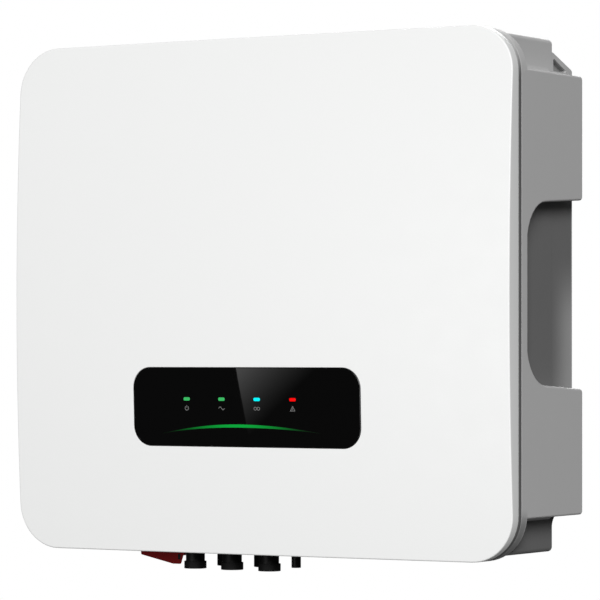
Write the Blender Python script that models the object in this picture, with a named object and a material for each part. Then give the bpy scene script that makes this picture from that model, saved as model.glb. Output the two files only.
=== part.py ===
"""Wall-hung string inverter: a domed cover on a die-cast housing with side wings, hung on a wall bracket.

Metres. +X runs to the object's right as seen from its front, +Y back towards the wall, +Z up.
The wall is the plane Y = 0, and the origin is on the bracket's back, level with the cover's middle.
"""
import math

import bmesh
import bpy

# Driving dimensions: the cover
DEPTH = 0.146                  # from the wall to the middle of the cover's front
COVER_WIDTH = 0.4474
COVER_HEIGHT = 0.400
CORNER_RADIUS = 0.0354
BULGE_SIDE = 0.0041            # how far the front falls back from its middle to its left and right edges
BULGE_END = 0.0078             # and from its middle to its top and bottom edges
COVER_SKIN = 0.003
RIM_WIDTH = 0.012

# Driving dimensions: planes behind the middle of the cover's front
COVER_BACK = 0.0192
FLANGE_FRONT = 0.0239
FLANGE_BACK = 0.0335
BOX_BACK = 0.105
WING_BACK = 0.1243
BAY_BACK = 0.137

# Driving dimensions: the housing
BOX_HALF_WIDTH = 0.208
BOX_UNDERSIDE = -0.194
BOX_TOP = 0.1955
WALL = 0.004
WING_TOP = 0.168
WING_BOTTOM = -0.1670
BAY_WALL = 0.008               # side walls of the heat-sink bay
GUSSET_TOP = 0.186
HAND_HOLD_TOP = 0.0708
HAND_HOLD_BOTTOM = -0.0688
HAND_HOLD_RADIUS = 0.032
FIN_COUNT = 20
FIN_PITCH = 0.0198
FIN_THICKNESS = 0.0025

# Driving dimensions: the display window
WINDOW_WIDTH = 0.2071
WINDOW_HEIGHT = 0.0617
WINDOW_RADIUS = 0.0161
WINDOW_X = -0.0054
WINDOW_Z = -0.0853
LIGHT_NAMES = ("power_light", "string_light", "link_light", "alarm_light")
LIGHT_PITCH = 0.0322
LIGHT_Z = -0.0791

# Driving dimensions: the connectors under the box
FRONT_ROW_Y = 0.045 - DEPTH
BACK_ROW_Y = 0.075 - DEPTH
CONNECTOR_PITCH = 0.0345
CONNECTOR_BORE = 0.004
FRONT_ROW_X = -0.0786          # the leftmost connector of the front row
BACK_ROW_X = -0.0657
SWITCH_X, SWITCH_Y = -0.1172, 0.082 - DEPTH
AC_X, COM_X, VENT_X, GROUND_X = 0.110, 0.050, 0.165, 0.143
OUTLET_Y = -0.080
ANTENNA_X, ANTENNA_Y = 0.0057, 0.060 - DEPTH

GAP = 0.0003                   # between touching pieces
SCREW_X, SCREW_Z = 0.213, 0.180

# Finishes: colour, roughness, metallic
WHITE = ((0.86, 0.87, 0.88), 0.40, 0.0)
GREY_CAST = ((0.40, 0.41, 0.42), 0.55, 0.3)
BLACK_GLOSS = ((0.01, 0.01, 0.012), 0.08, 0.0)
BLACK_PLASTIC = ((0.02, 0.02, 0.022), 0.50, 0.0)
DARK_RUBBER = ((0.05, 0.05, 0.055), 0.80, 0.0)
RED_PLASTIC = ((0.45, 0.02, 0.02), 0.45, 0.0)
STEEL = ((0.62, 0.63, 0.65), 0.35, 1.0)
ALUMINIUM = ((0.70, 0.71, 0.73), 0.40, 1.0)
BOARD_GREEN = ((0.02, 0.16, 0.07), 0.50, 0.0)
LIGHT_PIPE = ((0.55, 0.85, 0.60), 0.30, 0.0)


def deep(distance):
    """The Y of a plane that lies this far behind the middle of the cover's front."""
    return distance - DEPTH


# ---------------------------------------------------------------- building blocks

def add_part(name, mesh, finish, origin=(0.0, 0.0, 0.0), smooth=False):
    """Makes one named object with a material of its own, from a mesh in world positions."""
    for vert in mesh.verts:
        for axis in range(3):
            vert.co[axis] -= origin[axis]
    bmesh.ops.recalc_face_normals(mesh, faces=mesh.faces)
    data = bpy.data.meshes.new(name)
    mesh.to_mesh(data)
    mesh.free()
    if smooth:
        data.shade_smooth()
        data.set_sharp_from_angle(angle=math.radians(40))
    part = bpy.data.objects.new(name, data)
    part.location = origin
    bpy.context.scene.collection.objects.link(part)
    if finish:
        colour, roughness, metallic = finish
        material = bpy.data.materials.new(name + "_finish")
        material.use_nodes = True
        shader = material.node_tree.nodes["Principled BSDF"]
        shader.inputs["Base Color"].default_value = (*colour, 1.0)
        shader.inputs["Roughness"].default_value = roughness
        shader.inputs["Metallic"].default_value = metallic
        data.materials.append(material)
    return part


def combine(part, operation, mesh, label):
    """Joins a mesh to a part, or cuts it out, with a Boolean whose tool stays hidden."""
    tool = add_part(f"{part.name}_{label}", mesh, None)
    tool.hide_render = True
    tool.display_type = "WIRE"
    boolean = part.modifiers.new(label, "BOOLEAN")
    boolean.operation = operation
    boolean.solver = "EXACT"
    boolean.object = tool


def cut(part, mesh, label):
    combine(part, "DIFFERENCE", mesh, label)


def join(part, mesh, label):
    combine(part, "UNION", mesh, label)


def skin_rings(mesh, rings, closed=False):
    """Bridges successive rings of points; a ring of one point closes the surface at its tip."""
    loops = [[mesh.verts.new(point) for point in ring] for ring in rings]
    pairs = list(zip(loops, loops[1:]))
    if closed:
        pairs.append((loops[-1], loops[0]))
    for first, second in pairs:
        count = max(len(first), len(second))
        for i in range(count):
            j = (i + 1) % count
            corners = [first[i % len(first)], first[j % len(first)],
                       second[j % len(second)], second[i % len(second)]]
            mesh.faces.new(list(dict.fromkeys(corners)))
    return mesh


def prism(outline, axis, start, end, mesh=None):
    """An outline of two coordinates, drawn square to an axis and extruded from start to end along it."""
    mesh = mesh or bmesh.new()
    place = {"X": lambda a, b, c: (c, a, b), "Y": lambda a, b, c: (a, c, b), "Z": lambda a, b, c: (a, b, c)}[axis]
    near = [mesh.verts.new(place(a, b, start)) for a, b in outline]
    far = [mesh.verts.new(place(a, b, end)) for a, b in outline]
    mesh.faces.new(near)
    mesh.faces.new(far)
    for i in range(len(outline)):
        j = (i + 1) % len(outline)
        mesh.faces.new((near[i], near[j], far[j], far[i]))
    return mesh


def block(low, high, mesh=None):
    """A plain box between two corners."""
    outline = [(low[0], low[1]), (high[0], low[1]), (high[0], high[1]), (low[0], high[1])]
    return prism(outline, "Z", low[2], high[2], mesh)


def turned(profile, centre, axis="Z", sides=16, mesh=None, closed=False):
    """A turned piece from (radius, position along the axis) pairs; a radius of 0 closes it."""
    mesh = mesh or bmesh.new()
    rings = []
    for radius, along in profile:
        ring = []
        for i in range(sides if radius > 0 else 1):
            angle = 2 * math.pi * (i + 0.5) / sides
            a, b = radius * math.cos(angle), radius * math.sin(angle)
            if axis == "Z":
                ring.append((centre[0] + a, centre[1] + b, along))
            else:
                ring.append((centre[0] + a, along, centre[1] + b))
        rings.append(ring)
    return skin_rings(mesh, rings, closed)


def rounded_rectangle(width, height, radius, centre=(0.0, 0.0), corner_steps=6, edge_steps=1):
    """Points round a rectangle with arcs at its corners and its straight edges split evenly."""
    points = []
    for quarter, (sx, sz) in enumerate(((1, 1), (-1, 1), (-1, -1), (1, -1))):
        cx, cz = sx * (width / 2 - radius), sz * (height / 2 - radius)
        arc = [(cx + radius * math.cos(math.pi / 2 * (quarter + i / corner_steps)),
                cz + radius * math.sin(math.pi / 2 * (quarter + i / corner_steps)))
               for i in range(corner_steps + 1)]
        if points:
            points += between(points[-1], arc[0], edge_steps)
        points += arc
    points += between(points[-1], points[0], edge_steps)
    return [(x + centre[0], z + centre[1]) for x, z in points]


def between(start, end, steps):
    """The points that split a straight edge into equal steps, without its ends."""
    return [(start[0] + (end[0] - start[0]) * i / steps, start[1] + (end[1] - start[1]) * i / steps)
            for i in range(1, steps)]


def hexagon(centre, radius):
    return [(centre[0] + radius * math.cos(math.pi / 3 * i), centre[1] + radius * math.sin(math.pi / 3 * i))
            for i in range(6)]


def front_surface(x, z):
    """The Y of the cover's domed front."""
    side = x / (COVER_WIDTH / 2)
    end = z / (COVER_HEIGHT / 2)
    return deep(BULGE_SIDE * side ** 2 + BULGE_END * end ** 2)


def domed_rings(outline, centre, offset, shares):
    """Rings of points shrinking towards a centre, each lying this far behind the cover's front."""
    rings = []
    for share in shares:
        ring = [(centre[0] + (x - centre[0]) * share, centre[1] + (z - centre[1]) * share) for x, z in outline]
        rings.append([(x, front_surface(x, z) + offset, z) for x, z in ring])
    rings.append([(centre[0], front_surface(*centre) + offset, centre[1])])
    return rings


# ---------------------------------------------------------------- cover and display

def make_cover():
    outline = rounded_rectangle(COVER_WIDTH, COVER_HEIGHT, CORNER_RADIUS, edge_steps=6)
    inner = rounded_rectangle(COVER_WIDTH - 2 * RIM_WIDTH, COVER_HEIGHT - 2 * RIM_WIDTH,
                              CORNER_RADIUS - RIM_WIDTH, edge_steps=6)
    shares = (1.0, 0.8, 0.6, 0.4, 0.2)
    edge_round = 0.0012
    outside = domed_rings(outline, (0.0, 0.0), 0.0, (0.994,) + shares[1:])
    side = [[(x, front_surface(x, z) + edge_round, z) for x, z in outline],
            [(x, deep(COVER_BACK), z) for x, z in outline]]
    inside = [[(x, deep(COVER_BACK), z) for x, z in inner]]
    inside += domed_rings(inner, (0.0, 0.0), COVER_SKIN, shares)
    mesh = skin_rings(bmesh.new(), outside[::-1] + side + inside)
    cover = add_part("front_cover", mesh, WHITE)
    opening = rounded_rectangle(WINDOW_WIDTH, WINDOW_HEIGHT, WINDOW_RADIUS, (WINDOW_X, WINDOW_Z))
    cut(cover, prism(opening, "Y", deep(-0.01), deep(0.015)), "window_opening")
    holes = bmesh.new()
    for x, z in screw_places():
        turned([(0, deep(COVER_BACK) + 0.001), (0.0026, deep(COVER_BACK) + 0.001),
                (0.0026, deep(COVER_BACK) - 0.0052), (0, deep(COVER_BACK) - 0.0052)],
               (x, z), "Y", 8, holes)
    cut(cover, holes, "screw_holes")


def screw_places():
    return [(sx * SCREW_X, sz * SCREW_Z) for sz in (1, -1) for sx in (-1, 1)]


def make_gasket():
    front, back = deep(COVER_BACK) + GAP, deep(FLANGE_FRONT) - GAP
    inset, width = 0.0010, 0.0100
    rings = []
    for shrink, y in ((inset, front), (inset, back), (inset + width, back), (inset + width, front)):
        outline = rounded_rectangle(COVER_WIDTH - 2 * shrink, COVER_HEIGHT - 2 * shrink, CORNER_RADIUS - shrink)
        rings.append([(x, y, z) for x, z in outline])
    gasket = add_part("cover_gasket", skin_rings(bmesh.new(), rings, closed=True), DARK_RUBBER)
    holes = bmesh.new()
    for x, z in screw_places():
        turned([(0, front - 0.001), (0.0024, front - 0.001), (0.0024, back + 0.001), (0, back + 0.001)],
               (x, z), "Y", 8, holes)
    cut(gasket, holes, "screw_holes")


def make_window():
    centre = (WINDOW_X, WINDOW_Z)
    outline = rounded_rectangle(WINDOW_WIDTH - 2 * GAP, WINDOW_HEIGHT - 2 * GAP, WINDOW_RADIUS - GAP,
                                centre, edge_steps=4)
    shares = (1.0, 0.6, 0.25)
    front = domed_rings(outline, centre, GAP, shares)
    back = domed_rings(outline, centre, COVER_SKIN, shares)
    add_part("display_window", skin_rings(bmesh.new(), front[::-1] + back), BLACK_GLOSS)


def make_display():
    frame_front, frame_back = deep(0.0072), deep(0.0125)
    centre = (WINDOW_X, WINDOW_Z)
    rings = []
    for width, height, radius, y in ((0.218, 0.072, 0.012, frame_front), (0.218, 0.072, 0.012, frame_back),
                                     (0.196, 0.050, 0.008, frame_back), (0.196, 0.050, 0.008, frame_front)):
        rings.append([(x, y, z) for x, z in rounded_rectangle(width, height, radius, centre, 3)])
    add_part("display_frame", skin_rings(bmesh.new(), rings, closed=True), BLACK_PLASTIC)
    board_front = frame_back + GAP
    add_part("display_board", block((WINDOW_X - 0.104, board_front, WINDOW_Z - 0.033),
                                    (WINDOW_X + 0.104, board_front + 0.0016, WINDOW_Z + 0.033)), BOARD_GREEN)
    for i, name in enumerate(LIGHT_NAMES):
        x = WINDOW_X + LIGHT_PITCH * (i - 1.5) - 0.0047
        outline = rounded_rectangle(0.0066, 0.0036, 0.0017, (x, LIGHT_Z), 3)
        add_part(name, prism(outline, "Y", front_surface(x, LIGHT_Z) + COVER_SKIN + 2 * GAP,
                             board_front - GAP), LIGHT_PIPE)


# ---------------------------------------------------------------- housing and heat sink

def make_housing():
    flange = rounded_rectangle(COVER_WIDTH, COVER_HEIGHT, CORNER_RADIUS)
    housing = add_part("rear_housing", prism(flange, "Y", deep(FLANGE_FRONT), deep(FLANGE_BACK)), GREY_CAST)
    box_front = deep(FLANGE_FRONT) + 0.002
    box_middle = (0.0, (BOX_TOP + BOX_UNDERSIDE) / 2)
    box_outline = rounded_rectangle(2 * BOX_HALF_WIDTH, BOX_TOP - BOX_UNDERSIDE, 0.003, box_middle, 2)
    join(housing, prism(box_outline, "Y", box_front, deep(BOX_BACK)), "box")
    for side, label in ((-1, "left"), (1, "right")):
        join(housing, side_prism(wing_outline(), side, BOX_HALF_WIDTH - WALL, COVER_WIDTH / 2), label + "_wing")
        join(housing, side_prism(bay_outline(), side, BOX_HALF_WIDTH - BAY_WALL, BOX_HALF_WIDTH + 0.0002),
             label + "_bay_wall")
        pocket_floor = BOX_HALF_WIDTH + 0.0007
        skin = COVER_WIDTH / 2 - 0.003
        for low, high, part in ((HAND_HOLD_TOP + 0.010, WING_TOP - 0.003, "upper"),
                                (WING_BOTTOM + 0.003, HAND_HOLD_BOTTOM - 0.010, "lower")):
            outline = [(deep(FLANGE_BACK) + 0.008, low), (deep(WING_BACK) + 0.01, low),
                       (deep(WING_BACK) + 0.01, high), (deep(FLANGE_BACK) + 0.008, high)]
            cut(housing, side_prism(outline, side, pocket_floor, skin), f"{label}_{part}_pocket")
        cut(housing, side_prism(hand_hold_outline(), side, BOX_HALF_WIDTH + 0.0004, COVER_WIDTH / 2 + 0.01),
            label + "_hand_hold")
    cavity = rounded_rectangle(2 * (BOX_HALF_WIDTH - WALL), BOX_TOP - BOX_UNDERSIDE - 2 * WALL, 0.004, box_middle, 2)
    cut(housing, prism(cavity, "Y", deep(FLANGE_FRONT) - 0.01, deep(BOX_BACK) - WALL), "cavity")
    module_opening = rounded_rectangle(0.250, 0.070, 0.004, (0.0, 0.020), 2)
    cut(housing, prism(module_opening, "Y", deep(BOX_BACK) - 0.01, deep(BOX_BACK) + 0.01), "module_opening")
    bosses = bmesh.new()
    for x, z in board_posts():
        turned([(0, deep(BOX_BACK) - 0.001), (0.004, deep(BOX_BACK) - 0.001),
                (0.004, board_back() + GAP), (0, board_back() + GAP)], (x, z), "Y", 8, bosses)
    join(housing, bosses, "bosses")
    cut(housing, underside_holes(), "underside_holes")
    holes = bmesh.new()
    for x, z in screw_places():
        turned([(0, deep(FLANGE_FRONT) - 0.001), (0.0024, deep(FLANGE_FRONT) - 0.001),
                (0.0024, deep(FLANGE_BACK) + 0.001), (0, deep(FLANGE_BACK) + 0.001)], (x, z), "Y", 8, holes)
    cut(housing, holes, "screw_holes")


def side_prism(outline, side, inner, outer):
    """A prism along X on the left (side -1) or right (side 1) of the housing."""
    return prism(outline, "X", side * inner, side * outer)


def wing_outline():
    """A wing seen from the side: (Y, Z) points with rounded corners at the back."""
    front, back, radius = deep(FLANGE_FRONT) + 0.001, deep(WING_BACK), 0.004
    points = [(front, WING_BOTTOM), (back - radius, WING_BOTTOM), (back - 0.3 * radius, WING_BOTTOM + 0.3 * radius),
              (back, WING_BOTTOM + radius), (back, WING_TOP - radius),
              (back - 0.3 * radius, WING_TOP - 0.3 * radius), (back - radius, WING_TOP), (front, WING_TOP)]
    return points


def bay_outline():
    """A side wall of the heat-sink bay, with the gusset that rises behind the box's top."""
    front, back = deep(0.093), deep(BAY_BACK)
    behind_box = deep(BOX_BACK) - 0.001
    return [(front, WING_BOTTOM + 0.001), (back, WING_BOTTOM + 0.001), (back, GUSSET_TOP - 0.0125),
            (back - 0.0022, GUSSET_TOP - 0.0103), (behind_box, GUSSET_TOP), (behind_box, WING_TOP - 0.001),
            (front, WING_TOP - 0.001)]


def hand_hold_outline():
    """The cut-out for a hand: open at the back, round at its front corners, flaring backwards."""
    front, back, radius, steps = deep(FLANGE_BACK), deep(WING_BACK) + 0.01, HAND_HOLD_RADIUS, 6
    flare_top, flare_bottom = 0.0048, 0.0030
    points = [(back, HAND_HOLD_BOTTOM - flare_bottom), (back, HAND_HOLD_TOP + flare_top)]
    for i in range(steps + 1):
        angle = math.pi / 2 * (1 + i / steps)
        points.append((front + radius + radius * math.cos(angle),
                       HAND_HOLD_TOP - radius + radius * math.sin(angle)))
    for i in range(steps + 1):
        angle = math.pi + math.pi / 2 * i / steps
        points.append((front + radius + radius * math.cos(angle),
                       HAND_HOLD_BOTTOM + radius + radius * math.sin(angle)))
    return points


def underside_holes():
    """Every hole through the housing's bottom wall, as one set of cutters."""
    mesh = bmesh.new()
    low, high = BOX_UNDERSIDE - 0.004, BOX_UNDERSIDE + WALL + 0.002

    def drill(x, y, radius, sides=12):
        turned([(0, high), (radius, high), (radius, low), (0, low)], (x, y), "Z", sides, mesh)

    for x, y in front_row() + back_row():
        drill(x, y, 0.0075)
    drill(SWITCH_X, SWITCH_Y, 0.0046)
    drill(ANTENNA_X, ANTENNA_Y, 0.0033, 8)
    drill(AC_X, OUTLET_Y, 0.0160, 16)
    drill(VENT_X, OUTLET_Y, 0.0060)
    drill(GROUND_X, OUTLET_Y, 0.0027, 8)
    block((COM_X - 0.0173, OUTLET_Y - 0.0083, low), (COM_X + 0.0173, OUTLET_Y + 0.0083, high), mesh)
    return mesh


def front_row():
    return [(FRONT_ROW_X + CONNECTOR_PITCH * i, FRONT_ROW_Y) for i in range(3)]


def back_row():
    return [(BACK_ROW_X + CONNECTOR_PITCH * i, BACK_ROW_Y) for i in range(2)]


def make_heat_sink():
    """An extruded comb: a base plate with fins, its top sloped like the gussets beside it."""
    base_front, base_back, back = deep(BOX_BACK) + GAP, deep(BOX_BACK) + 0.008, deep(BAY_BACK)
    half = BOX_HALF_WIDTH - BAY_WALL - 0.001
    outline = [(half, base_front), (half, base_back)]
    for i in reversed(range(FIN_COUNT)):
        x = FIN_PITCH * (i - (FIN_COUNT - 1) / 2)
        outline += [(x + FIN_THICKNESS / 2, base_back), (x + FIN_THICKNESS / 2, back),
                    (x - FIN_THICKNESS / 2, back), (x - FIN_THICKNESS / 2, base_back)]
    outline += [(-half, base_back), (-half, base_front)]
    bottom = WING_BOTTOM + 0.001
    sink = add_part("heat_sink", prism(outline, "Z", bottom, GUSSET_TOP), ALUMINIUM)
    slope = [(deep(BOX_BACK) + 0.002, GUSSET_TOP + 0.002), (deep(BOX_BACK) + 0.002, GUSSET_TOP - 0.0005),
             (back + 0.002, GUSSET_TOP - 0.0115), (back + 0.002, GUSSET_TOP + 0.002)]
    cut(sink, prism(slope, "X", -0.25, 0.25), "sloped_top")
    boss_front, boss_back = base_back - 0.001, base_back + 0.021
    join(sink, block((-0.007, boss_front, bottom), (0.007, boss_back, bottom + 0.015)), "lock_boss")
    cut(sink, turned([(0, bottom + 0.0135), (0.0028, bottom + 0.0135), (0.0028, bottom - 0.002),
                      (0, bottom - 0.002)], (0.0, lock_screw_y()), "Z", 8), "lock_hole")


def lock_screw_y():
    return deep(BOX_BACK) + 0.018


# ---------------------------------------------------------------- electronics

def board_back():
    return deep(BOX_BACK) - 0.032


def board_posts():
    return [(x, z) for x in (-0.172, 0.0, 0.172) for z in (-0.112, 0.142)]


def make_electronics():
    board_front = board_back() - 0.0016
    add_part("power_board", block((-0.185, board_front, -0.122), (0.185, board_back(), 0.152)), BOARD_GREEN)
    parts_back = board_front - GAP
    for i in range(4):
        x = -0.155 + 0.042 * i
        profile = [(0, parts_back), (0.0175, parts_back), (0.0175, parts_back - 0.040), (0, parts_back - 0.040)]
        add_part(f"bus_capacitor_{i + 1}", turned(profile, (x, 0.120), "Y"), BLACK_PLASTIC, smooth=True)
    chokes = (("boost_choke_1", -0.145, 0.055), ("boost_choke_2", -0.070, 0.055), ("filter_choke", -0.145, -0.035))
    for name, x, z in chokes:
        profile = [(0.013, parts_back), (0.030, parts_back), (0.033, parts_back - 0.004),
                   (0.033, parts_back - 0.026), (0.030, parts_back - 0.030), (0.013, parts_back - 0.030),
                   (0.010, parts_back - 0.026), (0.010, parts_back - 0.004)]
        add_part(name, turned(profile, (x, z), "Y", 16, closed=True), STEEL, smooth=True)
    for i, x in enumerate((0.030, 0.066)):
        add_part(f"relay_{i + 1}", block((x, parts_back - 0.025, -0.060), (x + 0.028, parts_back, -0.038)),
                 BLACK_PLASTIC)
    add_part("emi_filter", block((0.060, parts_back - 0.034, -0.118), (0.150, parts_back, -0.070)), STEEL)
    for i, x in enumerate((-0.070, 0.070)):
        add_part(f"power_module_{i + 1}", block((x - 0.031, board_back() + GAP, -0.0025),
                                                (x + 0.031, deep(BOX_BACK), 0.0425)), BLACK_PLASTIC)
    control_front = board_front - 0.042
    control = add_part("control_board", block((0.018, control_front, -0.020),
                                              (0.178, control_front + 0.0016, 0.148)), BOARD_GREEN)
    pillars = bmesh.new()
    for x in (0.026, 0.170):
        for z in (-0.012, 0.140):
            turned([(0, control_front + 0.001), (0.003, control_front + 0.001), (0.003, parts_back),
                    (0, parts_back)], (x, z), "Y", 8, pillars)
    join(control, pillars, "pillars")
    make_ribbon(control_front)


def make_ribbon(control_front):
    """A flat ribbon from the display board's back up to the control board's lower edge."""
    thickness = 0.0008
    start = deep(0.0125) + 0.0022 + GAP
    end = control_front - GAP
    route = [(start, -0.070), (start + 0.004, -0.066), (start + 0.004, -0.034), (end - 0.004, -0.022),
             (end - thickness, -0.016), (end - thickness, -0.004)]
    outline = route + [(end, -0.004), (end, -0.016 - thickness), (end - 0.003, -0.0228),
                       (start + 0.004 + thickness, -0.0345), (start + 0.004 + thickness, -0.0664), (start, -0.0712)]
    add_part("display_cable", prism(outline, "X", 0.050, 0.072), LIGHT_PIPE)


# ---------------------------------------------------------------- DC switch

def make_dc_switch():
    inside = BOX_UNDERSIDE + WALL + GAP
    body_back = deep(BOX_BACK) - WALL - 0.001
    body = add_part("dc_switch_body", block((SWITCH_X - 0.022, body_back - 0.037, inside),
                                            (SWITCH_X + 0.022, body_back, inside + 0.052)), BLACK_PLASTIC)
    shaft_top = inside + 0.030
    cut(body, turned([(0, shaft_top + GAP), (0.0043, shaft_top + GAP), (0.0043, inside - 0.002),
                      (0, inside - 0.002)], (SWITCH_X, SWITCH_Y), "Z", 12), "shaft_bore")
    bezel_top, bezel_bottom = BOX_UNDERSIDE - GAP, BOX_UNDERSIDE - 0.0030
    bezel_outline = rounded_rectangle(0.034, 0.034, 0.006, (SWITCH_X, SWITCH_Y), 3)
    bezel = add_part("dc_switch_bezel", prism(bezel_outline, "Z", bezel_bottom, bezel_top), BLACK_PLASTIC)
    cut(bezel, turned([(0, bezel_top + 0.001), (0.0046, bezel_top + 0.001), (0.0046, bezel_bottom - 0.001),
                       (0, bezel_bottom - 0.001)], (SWITCH_X, SWITCH_Y), "Z", 12), "shaft_hole")
    hub_top = bezel_bottom - GAP
    shaft_end = -0.2040
    axis_point = (SWITCH_X, SWITCH_Y, hub_top)
    shaft = turned([(0, shaft_top), (0.0040, shaft_top), (0.0040, shaft_end), (0, shaft_end)],
                   (SWITCH_X, SWITCH_Y), "Z", 12)
    add_part("dc_switch_shaft", shaft, STEEL, axis_point, smooth=True)
    lever = [(-0.1502, hub_top - 0.0025), (-0.1502, -0.2062), (-0.1187, -0.2128), (-0.1115, -0.2128),
             (-0.1080, hub_top - 0.0025)]
    mesh = bmesh.new()
    half_width = 0.0085
    for x, z in lever:
        taper = half_width - 0.0025 * (SWITCH_X - x) / 0.033 if x < SWITCH_X else half_width
        mesh.verts.new((x, SWITCH_Y - taper, z))
        mesh.verts.new((x, SWITCH_Y + taper, z))
    bmesh.ops.convex_hull(mesh, input=mesh.verts)
    handle = add_part("dc_switch_handle", mesh, RED_PLASTIC, axis_point)
    join(handle, turned([(0, hub_top), (0.0088, hub_top), (0.0088, -0.2060), (0, -0.2060)],
                        (SWITCH_X, SWITCH_Y), "Z"), "hub")
    cut(handle, turned([(0, hub_top + 0.001), (0.0043, hub_top + 0.001), (0.0043, shaft_end - GAP),
                        (0, shaft_end - GAP)], (SWITCH_X, SWITCH_Y), "Z", 12), "shaft_socket")


# ---------------------------------------------------------------- connectors

def make_front_connectors():
    """Long plugs: a threaded tail through the wall, a collar, a stem, and a dust cap over its end."""
    end, cap_bottom, cap_top = -0.2118, -0.2136, -0.2077
    names = (("aux_port", "aux_cap"), ("pv_plug_1", "pv_plug_cap_1"), ("pv_plug_2", "pv_plug_cap_2"))
    for (name, cap_name), (x, y) in zip(names, front_row()):
        profile = [(0, -0.172), (0.0050, -0.172), (0.0050, -0.1860), (0.0072, -0.1865),
                   (0.0072, BOX_UNDERSIDE - GAP), (0.0100, BOX_UNDERSIDE - GAP), (0.0100, -0.1985),
                   (0.0075, -0.1985), (0.0075, end), (CONNECTOR_BORE, end), (CONNECTOR_BORE, end + 0.014),
                   (0, end + 0.014)]
        add_part(name, turned(profile, (x, y)), BLACK_PLASTIC, smooth=True)
        cap = [(0, cap_bottom), (0.0088, cap_bottom), (0.0088, cap_top), (0.0078, cap_top), (0.0078, end - GAP),
               (0, end - GAP)]
        add_part(cap_name, turned(cap, (x, y)), DARK_RUBBER, (x, y, cap_top), smooth=True)


def make_back_connectors():
    """Short sockets, stepped so that their dust caps are flush with the body."""
    body_end, nozzle_end, cap_bottom = -0.2032, -0.2105, -0.2125
    for i, (x, y) in enumerate(back_row()):
        profile = [(0, -0.172), (0.0050, -0.172), (0.0050, -0.1860), (0.0072, -0.1865),
                   (0.0072, BOX_UNDERSIDE - GAP), (0.0098, BOX_UNDERSIDE - GAP), (0.0098, body_end),
                   (0.0075, body_end), (0.0075, nozzle_end), (CONNECTOR_BORE, nozzle_end),
                   (CONNECTOR_BORE, nozzle_end + 0.013), (0, nozzle_end + 0.013)]
        add_part(f"pv_socket_{i + 1}", turned(profile, (x, y)), BLACK_PLASTIC, smooth=True)
        cap = [(0, cap_bottom), (0.0098, cap_bottom), (0.0098, body_end - GAP), (0.0078, body_end - GAP),
               (0.0078, nozzle_end - GAP), (0, nozzle_end - GAP)]
        add_part(f"pv_socket_cap_{i + 1}", turned(cap, (x, y)), DARK_RUBBER, (x, y, body_end), smooth=True)


def make_outlets():
    """What the cover's lower edge hides: AC outlet, communication port, vent valve, earth screw, antenna."""
    top = BOX_UNDERSIDE - GAP
    profile = [(0, -0.165), (0.0155, -0.165), (0.0155, top), (0.0190, top), (0.0190, -0.1968),
               (0.0115, -0.1968), (0.0115, -0.172), (0, -0.172)]
    add_part("ac_socket", turned(profile, (AC_X, OUTLET_Y), sides=24), BLACK_PLASTIC, smooth=True)
    cap = [(0, -0.2008), (0.0185, -0.2008), (0.0190, -0.2000), (0.0190, -0.1971), (0, -0.1971)]
    add_part("ac_cap", turned(cap, (AC_X, OUTLET_Y), sides=24), DARK_RUBBER,
             (AC_X, OUTLET_Y, -0.1971), smooth=True)
    port = add_part("com_port", block((COM_X - 0.0170, OUTLET_Y - 0.0080, -0.1960),
                                      (COM_X + 0.0170, OUTLET_Y + 0.0080, -0.174)), BLACK_PLASTIC)
    join(port, block((COM_X - 0.0200, OUTLET_Y - 0.0110, -0.1967), (COM_X + 0.0200, OUTLET_Y + 0.0110, top)),
         "flange")
    cut(port, block((COM_X - 0.0145, OUTLET_Y - 0.0060, -0.199), (COM_X + 0.0145, OUTLET_Y + 0.0060, -0.178)),
        "hollow")
    outline = rounded_rectangle(0.040, 0.022, 0.004, (COM_X, OUTLET_Y), 3)
    add_part("com_plug", prism(outline, "Z", -0.2004, -0.1970), DARK_RUBBER, (COM_X, OUTLET_Y, -0.1970))
    vent = add_part("vent_valve", prism(hexagon((VENT_X, OUTLET_Y), 0.0085), "Z", -0.1990, top), BLACK_PLASTIC)
    join(vent, turned([(0, -0.186), (0.0057, -0.186), (0.0057, -0.197), (0, -0.197)], (VENT_X, OUTLET_Y),
                      sides=12), "thread")
    ground = [(0, -0.188), (0.0024, -0.188), (0.0024, top), (0.0045, top), (0.0045, -0.1975), (0, -0.1975)]
    add_part("ground_screw", turned(ground, (GROUND_X, OUTLET_Y), sides=12), STEEL, smooth=True)
    antenna = [(0, -0.188), (0.0030, -0.188), (0.0030, top), (0.0060, top), (0.0060, -0.1985),
               (0.0037, -0.1985), (0.0037, -0.2114), (0, -0.2114)]
    add_part("antenna_stub", turned(antenna, (ANTENNA_X, ANTENNA_Y), sides=12), BLACK_PLASTIC, smooth=True)


# ---------------------------------------------------------------- fastenings and hanging

def make_cover_screws():
    """Four screws from behind, through flange and gasket into the cover's rim."""
    head_front, head_back = deep(FLANGE_BACK) + GAP, deep(FLANGE_BACK) + 0.0035
    tip = deep(COVER_BACK) - 0.0045
    for i, (x, z) in enumerate(screw_places()):
        profile = [(0, head_back), (0.0040, head_back), (0.0040, head_front), (0.0020, head_front),
                   (0.0020, tip), (0, tip)]
        add_part(f"cover_screw_{i + 1}", turned(profile, (x, z), "Y", 10), STEEL, smooth=True)


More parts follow.
